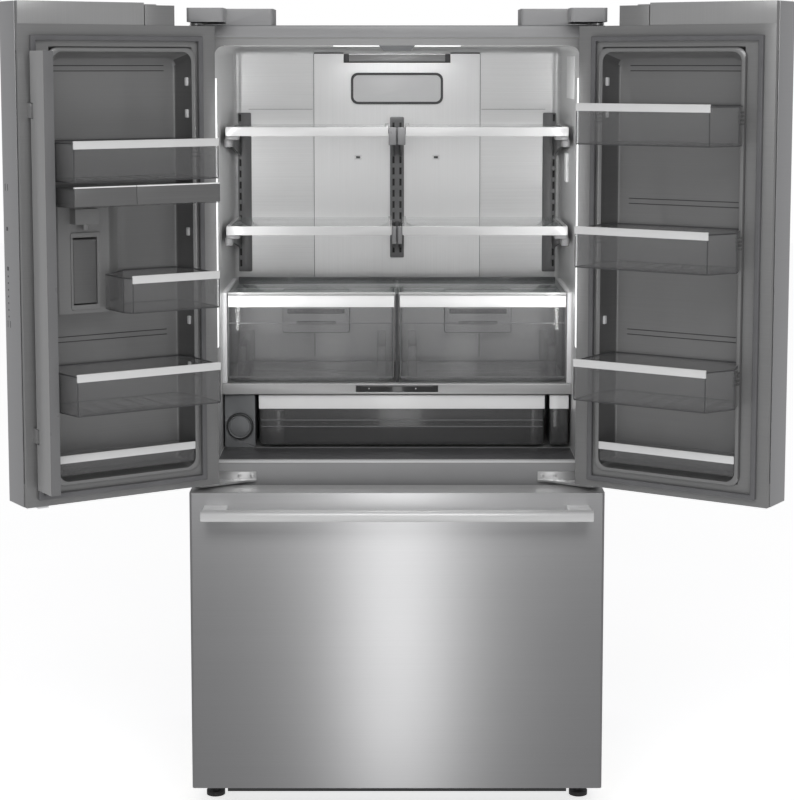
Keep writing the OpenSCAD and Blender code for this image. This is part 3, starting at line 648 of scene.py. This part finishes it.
# the frame's side plates take the covers' white: painted light for the side lamps' glow on the
# crisper's side walls
second_coat(carrier, cover_white, lambda c, n: abs(c.x) > 0.3875)
panels = [plate(at(a, 458, 1006), at(b, 465, 1110), 6, 1.2)
          for a, b in (across(side, 117, 279) for side in (-1, 1))]
ready(joined(*panels), "humidity_panels", CABINET, cover_white)
slide_parts = []
for side in (-1, 1):
    for x0, x1, z0, z1 in ((128, 268, 1052, 1064), (150, 246, 1026, 1034)):
        a, b = across(side, x0, x1)
        slide_parts.append(block(at(a, 455.5, z0), at(b, 459, z1), 1.6, 2))
ready(joined(*slide_parts), "humidity_slides", CABINET, clip_grey)
deck_grey = satin_sheet("deck_grey", 0.33, 0.40, 0.3, 0.36, (3, 700, 700))
eased("deck", CABINET, 1.5, deck_grey, 3)
touch_black = Finish("touch_black", 0.02, 0.12, Coat_Weight=0.6)
touch_black.tint(touch_black.noise(30), 0.018, 0.03)
eased("control_panel", CABINET, 0.4, touch_black)
mark_white = Finish("mark_white", 0.7, 0.5)
mark_white.tint(mark_white.noise(80), 0.6, 0.75)
marks = [block(at(x - 1.2, 128.3, 919), at(x + 1.2, 130.3, 921.4), 0.4) for x in (-64, 43)]
ready(joined(*marks), "control_dots", CABINET, mark_white)

# Wide deli drawer, side bin and water filter: smoke-tinted tubs with the same bright
# strip, and a round filter cap that turns a quarter turn in its moulded housing.
deli_smoke = see_through("deli_smoke", (0.13, 0.13, 0.131), (0.04, 0.04, 0.04),
                         0.42, 0.9, 0.1)
smoke_clear = see_through("smoke_clear", (0.25, 0.25, 0.252), (0.04, 0.04, 0.041),
                          0.16, 0.85, 0.1, 0.08)
tub_low, tub_high = 786, 904
strip_z = (tub_high - 33, tub_high - 0.3)
deli = [tub(rectangle(-317.5, 339.5, 139, 469.5), tub_low, tub_high - 8, 12, 10)]
for x0, x1 in ((-299, -259), (306, 325)):
    deli.append(block(at(x0, 138.2, tub_low + 2), at(x1, 146, tub_high - 34), 2.5, 3))
lines = [block(at(-312, 137, rise), at(335, 139.4, rise + 2.6), 0.9) for rise in (829, 844)]
ready(joined(*lines), "deli_drawer_ribs", "deli_drawer", clip_grey)
ready(joined(*deli), "deli_drawer_tub", "deli_drawer", deli_smoke, "deli_drawer")
ready(strip(-317.5, 339.5, *STRIP_Y, *strip_z), "deli_drawer_strip", "deli_drawer",
      strip_white)
bin_tub = tub(rectangle(350.5, 394.5, 139, 429.5), tub_low, tub_high - 8, 8, 8)
ready(bin_tub, "side_bin_tub", "side_bin", deli_smoke, "side_bin")
ready(strip(350.5, 394.5, *STRIP_Y, *strip_z), "side_bin_strip", "side_bin", strip_white)
housing_grey = powder("housing_grey", (0.15, 0.155, 0.16), (0.19, 0.195, 0.20), 0.35)
eased("filter_housing", CABINET, 2.0, housing_grey, 3)
cap_low, cap_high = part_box("filter_cap")
cap_middle = (cap_low + cap_high) / 2
bpy.ops.object.select_all(action="DESELECT")
CAP_RADIUS, RING_RADIUS = 0.0292, 0.0262
bpy.ops.mesh.primitive_cylinder_add(vertices=64, radius=CAP_RADIUS, depth=0.0175,
                                    rotation=(pi / 2, 0, 0),
                                    location=(cap_middle.x, cap_high.y - 0.0092, cap_middle.z))
cap_disc = bpy.context.object
bpy.ops.object.transform_apply(location=True, rotation=True, scale=True)
marked(cap_disc, "FACE", lambda c, n: n.y < -0.9)
bpy.ops.mesh.inset(thickness=0.0035, depth=0)
bpy.ops.mesh.inset(thickness=0.0012, depth=-0.0022)
bpy.ops.mesh.inset(thickness=0.0012, depth=0)
bpy.ops.mesh.inset(thickness=0.001, depth=0.0016)
done()
ready(soften(cap_disc, 0.4), "filter_cap_disc", "filter_cap", housing_grey,
      "filter_cap")


def in_ring(centre, normal):
    """Whether a face of the cap looks forward and lies in its outer ring."""
    out = Vector((centre.x - cap_middle.x, 0, centre.z - cap_middle.z)).length
    return normal.y < -0.9 and RING_RADIUS < out < CAP_RADIUS


second_coat(cap_disc, slot_black, in_ring)

# Freezer: a white liner behind a stainless drawer front. The front's steel is wrapped
# round a grey inner shell, and the handle is a brushed bar on two posts. The baskets are
# clear tubs, the lower one on steel slides.
def brushed(name, turn=0.0, roughness=0.30, anisotropic=0.8, colour=(0.60, 0.60, 0.605)):
    """Stainless steel brushed sideways, so that its highlights stand up and down."""
    steel = Finish(name, colour, roughness, 1.0, Anisotropic=anisotropic, Anisotropic_Rotation=0.25)
    grain = steel.noise(1.0, 5, (2.5, 2.5, 1100), turn)
    steel.tint(grain, [c * 0.95 for c in colour], [c * 1.05 for c in colour])
    cloud = steel.noise(3, 2, (1, 1, 1), turn)
    steel.drive(Roughness=roughness - 0.04 + grain * 0.05 + cloud * 0.03)
    return steel.bump(grain, 0.05, 0.0002)


front_steel = brushed("front_steel")
bar_steel = satin_sheet("bar_steel", 0.66, 0.72, 0.3, 0.36, (3, 3, 600))
# a satin steel for the drawer front's top face that reads brighter: painted light
painted_light_top_steel = satin_sheet("painted_light_top_steel", 0.50, 0.58, 0.5, 0.34, (3, 600, 600))
seal_grey = Finish("seal_grey", 0.1, 0.6)
seal_grey.tint(seal_grey.noise(20), (0.10, 0.10, 0.105), (0.14, 0.14, 0.145))
seal_grey.bump(seal_grey.noise(700), 0.2, 0.0003)
inner_grey = satin_sheet("inner_grey", 0.265, 0.305, 0.5, 0.38, (3, 3, 600))
DRAWER = "freezer_drawer"
eased("freezer_liner", CABINET, 0, inner_white)
front = eased("freezer_front", DRAWER, 0.8, front_steel, 3)
# the top face of the drawer front gets a satin steel of its own so that it reads brighter: painted
# light for the overhead light falling on it
second_coat(front, painted_light_top_steel, lambda c, n: n.z > 0.9 and c.z > 0.66)
eased("freezer_front_liner", DRAWER, 2.0, inner_grey, 2)
eased("freezer_gasket", DRAWER, 2.0, seal_grey, 2)
eased("freezer_handle", DRAWER, 0.8, bar_steel, 2)
eased("drawer_slides", CABINET, 0.4, zinc_sheet)
basket = tub(rectangle(-365.5, 365.5, 4.5, 423.5), 136.5, 475.5, 26, 14, 3)
ribs = [block(at(x, 2.6, 150), at(x + 6, 5, 440), 1.1) for x in range(-330, 331, 60)]
ready(joined(basket, *ribs), "freezer_basket_tub", DRAWER, crisper_clear,
      "freezer_basket")
carriers = []
for side in (-1, 1):
    for x0, x1, top in ((366, 388, 252), (384, 388, 274)):
        a, b = across(side, x0, x1)
        carriers.append(block(at(a, 6, 244), at(b, 424, top), 0.5))
ready(joined(*carriers), "basket_carriers", DRAWER, zinc_sheet)
upper = tub(rectangle(-355.5, 355.5, 20.5, 299.5), 478, 619.5, 20, 10, 3)
runners = [block(at(a, 20.5, 477.8), at(b, 299.5, 480.8), 0.8)
           for a, b in (across(side, 350, 371.8) for side in (-1, 1))]
ready(joined(upper, *runners), "freezer_upper_tub", "upper_basket", crisper_clear,
      "freezer_upper_basket")

# Doors: brushed stainless skins folded round foamed cores. Each core is closed by one
# grey vacuum-formed inner panel with a deep recess, a raised rim for the seal to sit
# against, beads across its back and lugs that the bins hook over.
doors = {"left": -1, "right": 1}
hinge = next(j for j in frame["joints"] if j["name"] == "left_door_hinge")
pin = Vector(hinge["pos_m"])
OPEN = radians(hinge["range_deg"][0])
pin_u, pin_w = 0.022, 0.052          # the pin, from the door's hinge edge and outer face
swing = Matrix.Translation((pin.x, pin.y, 0)) @ Matrix.Rotation(OPEN, 4, "Z") \
    @ Matrix.Translation((-pin_u, -pin_w, 0))


def in_door(u, w, z):
    """A point of a door: along it from its hinge edge, back from its outer face, and up."""
    return Vector((u / 1000, w / 1000, z / 1000))


def hang(piece, side):
    """Moves a piece drawn on the closed left door to where a door stands open."""
    piece.data.transform(swing)
    return mirrored(piece) if side == "right" else piece


def part(u0, u1, w0, w1, z0, z1, width=1.0, segments=2):
    return block(in_door(u0, w0, z0), in_door(u1, w1, z1), width, segments)


recess = {"u": (71, 364), "z": (800, 1675)}


def pan():
    """The panel's recess: a plate on its back with round corners, drawn out to the rim."""
    (u0, u1), (z0, z1) = recess["u"], recess["z"]
    bpy.ops.object.select_all(action="DESELECT")
    bpy.ops.mesh.primitive_plane_add(size=1, rotation=(pi / 2, 0, 0))
    sheet = bpy.context.object
    sheet.scale = ((u1 - u0 - 14) / 1000, (z1 - z0 - 14) / 1000, 1)
    sheet.location = in_door((u0 + u1) / 2, 47.4, (z0 + z1) / 2)
    bpy.ops.object.transform_apply(location=True, rotation=True, scale=True)
    alone(sheet)
    bpy.ops.object.mode_set(mode="EDIT")
    bpy.ops.mesh.select_all(action="SELECT")
    bpy.ops.mesh.bevel(offset=0.022, segments=6, affect="VERTICES")
    done()
    # the fillet, the wall, the rolled rim and its outer skirt: how far back each step is,
    # and how far its left, lower, upper and right edges have grown from the start
    free_edge_share = 0.77
    outline = [(47.4, 0, 0, 0, 0), (48.6, 3.4, 3.6, 3.6, 3.4), (52, 6, 6.3, 6.3, 6),
               (97.5, 19.4, 20, 20, 27), (101.5, 18.6, 19, 19, 27), (103.6, 16.4, 17, 17, 29),
               (104, 19, 20, 20, 32), (103.2, 25, 23, 23, 38), (101, 27.5, 25, 25, 40.5),
               (96.6, 28, 25.5, 25.5, 41)]
    low_u, high_u = u0 + 7, u1 - 7
    low_z, high_z = z0 + 7, z1 - 7
    level = outline[0][0] / 1000
    for w, left, bottom, top, right in outline[1:]:
        marked(sheet, "EDGE", lambda a, b: abs(a.y - level) < 1e-6 and abs(b.y - level) < 1e-6)
        if w == outline[1][0]:
            bpy.ops.mesh.region_to_loop()
        bpy.ops.mesh.extrude_edges_move(TRANSFORM_OT_translate={"value": (0, w / 1000 - level, 0)})
        done()
        level = w / 1000
        for axis, sign, limit in ((0, -1, low_u - left), (0, 1, high_u + right * free_edge_share),
                                  (2, -1, low_z - bottom), (2, 1, high_z + top)):
            loop = [v.co[axis] for v in sheet.data.vertices if abs(v.co.y - level) < 1e-6]
            reach, middle = (max if sign > 0 else min)(loop), (min(loop) + max(loop)) / 2
            shift = Vector((0, 0, 0))
            shift[axis] = limit / 1000 - reach
            marked(sheet, "VERT", lambda co: abs(co.y - level) < 1e-6
                   and (co[axis] - middle) * sign > 0)
            bpy.ops.transform.translate(value=shift)
            done()
    alone(sheet)
    bpy.ops.object.mode_set(mode="EDIT")
    bpy.ops.mesh.select_all(action="SELECT")
    bpy.ops.mesh.normals_make_consistent(inside=False)
    done()
    towards = sum((f.normal.y * f.area for f in sheet.data.polygons), 0.0)
    if towards < 0:
        sheet.data.flip_normals()
    thicken(sheet, 1.2, -1)
    return soften(sheet, 0)


def door_steel(name, side, roughness=0.30):
    return brushed(name, OPEN if side == "right" else -OPEN, roughness)


# a darker grey for the recess wall on the hinge side: painted shade
recess_wall_painted_shade = satin_sheet("recess_wall_painted_shade", 0.12, 0.15, 0.4, 0.4, (3, 3, 600))
rail_steel = satin_sheet("rail_steel", 0.40, 0.46, 0.5, 0.36, (600, 600, 3))
for side, way in doors.items():
    along = swing.to_3x3() @ Vector((1, 0, 0))      # from the hinge to the free edge
    along.x *= -way
    body = side + "_door"
    skin = door_steel(side + "_skin_steel", side)
    eased(body + "_skin", body, 0.8, skin, 3)
    eased(body + "_liner", body, 0.6, inner_grey)
    eased(body + "_gasket", body, 2.2, seal_grey, 3)
    eased(body + "_handle", body, 0.8, bar_steel, 2)
    panel = ready(hang(pan(), side), body + "_recess_panel", body, inner_grey)
    # the wall on the hinge side of the recess, which faces the free edge, gets the darker grey:
    # painted shade
    second_coat(panel, recess_wall_painted_shade, lambda c, n: n.dot(along) > 0.7)
    rail = part(168.2, 450.2, 96.8, 97.6, 1741, 1786.6, 0.3)
    ready(hang(rail, side), body + "_top_rail_face", body, rail_steel)
    rows = (1644, 1655, 1076, 1087) + ((1360, 1371) if side == "right" else ())
    # the beads and the strip along the liner's free edge are painted near black: painted shade for
    # the lines the beads cast and for the groove along the edge
    beads = [part(100, 354, 47.2, 48.6, z, z + 1.7, 0.5) for z in rows]
    beads.append(part(450.2, 451.3, 85, 87, 793, 1687, 0.3))
    ready(hang(joined(*beads), side), body + "_panel_beads_painted_shade", body, trim_dark)
    lugs = [part(57.6, 66, 78, 88, z, z + 18, 1.8, 3) for z in (1613, 1545, 1292, 1100, 1000)]
    ready(hang(joined(*lugs), side), body + "_lugs", body, cover_white)

# Door bins: smoke-tinted tubs with a bright front strip, lifted over the panel's lugs.
# Each has a rim, a foot edge and corner posts in a darker tone, a faceted free end and a
# ribbed hook at both ends.
ends = {"left": 388, "right": 364}
bin_white = Finish("bin_white", 0.68, 0.25, Coat_Weight=0.3)
bin_white.tint(bin_white.noise(12), 0.64, 0.70)
bin_white.bump(bin_white.noise(900), 0.06, 0.0002)


def full_plan(last):
    return [(74, 50.2), (60.3, 98), (60.3, 221.7), (last - 0.3, 221.7), (397.6, 150),
            (380.7, 98), (361, 50.2)][::-1]


short_plan = [(74, 50.2), (60.3, 98), (60.3, 221.7), (261.7, 221.7), (273.7, 200), (273.7, 112),
              (250, 101), (205, 50.2)][::-1]
tray_plan = [(74, 50.2), (62, 94), (62, 104), (378, 104), (378, 94), (361, 50.2)][::-1]


def door_tub(plan, z0, z1, corner=4, foot=4):
    return tub(plan, z0, z1, corner, foot, 2.5, point=in_door)


def hoop(plan, z, height, corner, wide=2.6, inwards=0.0):
    """A thin rolled edge that follows a bin's plan."""
    ring = drawn(plan, z, in_door)
    bpy.ops.mesh.bevel(offset=corner / 1000, segments=3, affect="VERTICES")
    bpy.ops.mesh.select_mode(type="FACE")
    bpy.ops.mesh.select_all(action="SELECT")
    if inwards:
        bpy.ops.mesh.inset(thickness=inwards / 1000)
        bpy.ops.mesh.select_all(action="INVERT")
        bpy.ops.mesh.delete(type="FACE")
        bpy.ops.mesh.select_all(action="SELECT")
    bpy.ops.mesh.inset(thickness=wide / 1000)
    bpy.ops.mesh.delete(type="FACE")
    bpy.ops.mesh.select_all(action="SELECT")
    bpy.ops.mesh.normals_make_consistent(inside=False)
    done()
    thicken(ring, height, 0)
    return soften(ring, 0)


def door_strip(last, z0, z1, w0=216.6, w1=221.8, first=60.3):
    bar = part(first, last - 0.3, w0, w1, z0, z1, 0)
    marked(bar, "FACE", lambda c, n: n.y < -0.9)
    bpy.ops.mesh.inset(thickness=0.0014, depth=-0.0012)
    done()
    return soften(bar, 0.9, 2)


def hooks(z1, last=392):
    """The ribbed hooks that hold a bin on its lugs."""
    made = []
    for i in range(4):
        rise = z1 - 44 + i * 8
        made.append(part(last - 11, last - 4, 104, 128, rise, rise + 4, 1))
        made.append(part(60.8, 64, 104, 128, rise, rise + 4, 1))
    return made


shelves = {"left": [(1421, 1506), (946, 1034)],
           "right": [(1492, 1579), (1234, 1322), (952, 1041)]}
for side, rows in shelves.items():
    body, last = side + "_door", ends[side]
    tubs, strips, rims = [], [], []
    free_corner = (last - 1.6, 220.3)
    for z0, z1 in rows:
        tubs.append(door_tub(full_plan(last), z0 + 0.3, z1 - 5))
        rims.append(hoop(full_plan(last), z1 - 5.4, 2.6, 4))
        rims.append(hoop(full_plan(last), z0 + 1.6, 2.2, 4, 1.6, 0.2))
        rims += [part(u - 1, u + 1, w - 1, w + 1, z0 + 3, z1 - 6, 0.5)
                 for u, w in ((61.8, 220), free_corner, (395.6, 150))]
        tubs += hooks(z1)
        strips.append(door_strip(last, z1 - 17, z1 - 0.3))
        tubs += [part(u, u + 4, 64, 212, z0 + 3, z0 + 4.6, 0.8) for u in range(90, last - 10, 42)]
    if side == "left":
        tubs.append(door_tub(short_plan, 1149.3, 1223))
        rims.append(hoop(short_plan, 1222.4, 2.6, 4))
        rims.append(hoop(short_plan, 1150.9, 2.2, 4, 1.6, 0.2))
        rims += [part(u - 1, u + 1, w - 1, w + 1, 1152, 1221, 0.5)
                 for u, w in ((61.8, 220), (260.4, 220), (272, 198))]
        strips.append(door_strip(262, 1211, 1227.7))
    tubs.append(door_tub(tray_plan, 801.3, 842, 5, 5))
    strips.append(door_strip(378, 829.2, 845.8, 101.6, 104.8, 62.2))
    ready(hang(joined(*rims), side), body + "_bin_rims", body, trim_dark)
    ready(hang(joined(*tubs), side), body + "_bin_tubs", body, smoke_clear,
          body + "_bins")
    ready(hang(joined(*strips), side), body + "_bin_strips", body, bin_white)

# Left door only: the covered dairy bin with its two flaps, the water spout on its moulded
# housing with the paddle behind it, and the folding mullion that the doors close on.
flap_grey = satin_sheet("flap_grey", 0.17, 0.21, 0.45, 0.34, (3, 3, 500), -OPEN)
mullion_grey = satin_sheet("mullion_grey", 0.38, 0.46, 0.55, 0.36, (700, 700, 2), -OPEN)
LEFT = "left_door"
eased("dairy_box", LEFT, 1.4, smoke_clear, 3)
eased("dairy_flap_wide", "dairy_flap_wide", 0.5, flap_grey)
eased("dairy_flap_narrow", "dairy_flap_narrow", 0.5, flap_grey)
for body, u0, u1 in (("dairy_flap_wide", 60.3, 250.3), ("dairy_flap_narrow", 251.7, 387.7)):
    edge = part(u0, u1, 217, 224.8, 1410.2, 1413.6, 1.0)
    ready(hang(edge, "left"), body + "_edge", body, strip_white)
eased("dispenser", LEFT, 2.4, inner_grey, 3)
eased("dispenser_paddle", "dispenser_paddle", 0.8, flap_grey)
bar = eased("flip_mullion", "flip_mullion", 1.0, mullion_grey)
outwards = swing.to_3x3() @ Vector((0, 1, 0))        # from the door's face to its inside
second_coat(bar, clip_grey, lambda c, n: n.dot(outwards) > 0.7)
edge_u = (451.9, 452.3)                      # just proud of the door's free edge
touch_marks = [part(*edge_u, 21, 29, z, z + 8, 0) for z in (1316, 1233)]
touch_marks += [part(*edge_u, w, w + 1.6, z, z + 14, 0) for z in (1399, 1114) for w in (18, 31)]
touch_marks += [part(*edge_u, 23, 27, z, z + 3.5, 0) for z in range(1135, 1226, 14)]
ready(hang(joined(*touch_marks), "left"), "touch_marks", LEFT, trim_dark)
ready(hang(part(399, 423, 60, 90, 737.5, 743.2, 1.2), "left"), "door_foot_tab", LEFT, cover_white)

# Hinges, covers and what shows outside: zinc-plated steel leaves with their screws, grey
# moulded covers, black feet and toe grille, and the machinery behind the rear cover.
plated = Finish("plated", 0.7, 0.2, 1.0)
plated.tint(plated.noise(30, 3), 0.6, 0.7)
plated.drive(Roughness=0.24 + plated.noise(60, 3) * 0.14)
cover_grey = powder("cover_grey", (0.28, 0.28, 0.285), (0.32, 0.32, 0.325), 0.4)
sole_black = powder("sole_black", (0.018, 0.018, 0.018), (0.03, 0.03, 0.03), 0.6)
brass_tone = Finish("brass_tone", (0.72, 0.56, 0.28), 0.3, 1.0)
brass_tone.tint(brass_tone.noise(50), (0.66, 0.5, 0.24), (0.76, 0.6, 0.32))
fin_tone = Finish("fin_tone", 0.7, 0.35, 0.9)
fin_tone.tint(fin_tone.noise(80), 0.6, 0.74)
enamel_black = powder("enamel_black", (0.02, 0.02, 0.022), (0.035, 0.035, 0.038), 0.3)
eased("hinge_brackets", CABINET, 0.6, plated)
eased("fasteners", CABINET, 0.5, plated)
eased("hinge_covers", CABINET, 2.0, cover_grey, 3)
eased("mullion_guide", CABINET, 1.2, housing_grey)
eased("leveling_feet", CABINET, 0.8, sole_black)
eased("toe_grille", CABINET, 0.6, moulded_black)
eased("compressor", CABINET, 1.5, enamel_black)
eased("rear_rollers", "rollers", 0.8, moulded_black)
eased("evaporator_fan", "evaporator_fan", 0.5, moulded_black)
eased("water_inlet", CABINET, 0.8, brass_tone)
eased("condenser", CABINET, 0, enamel_black)
eased("evaporator", CABINET, 0, fin_tone)
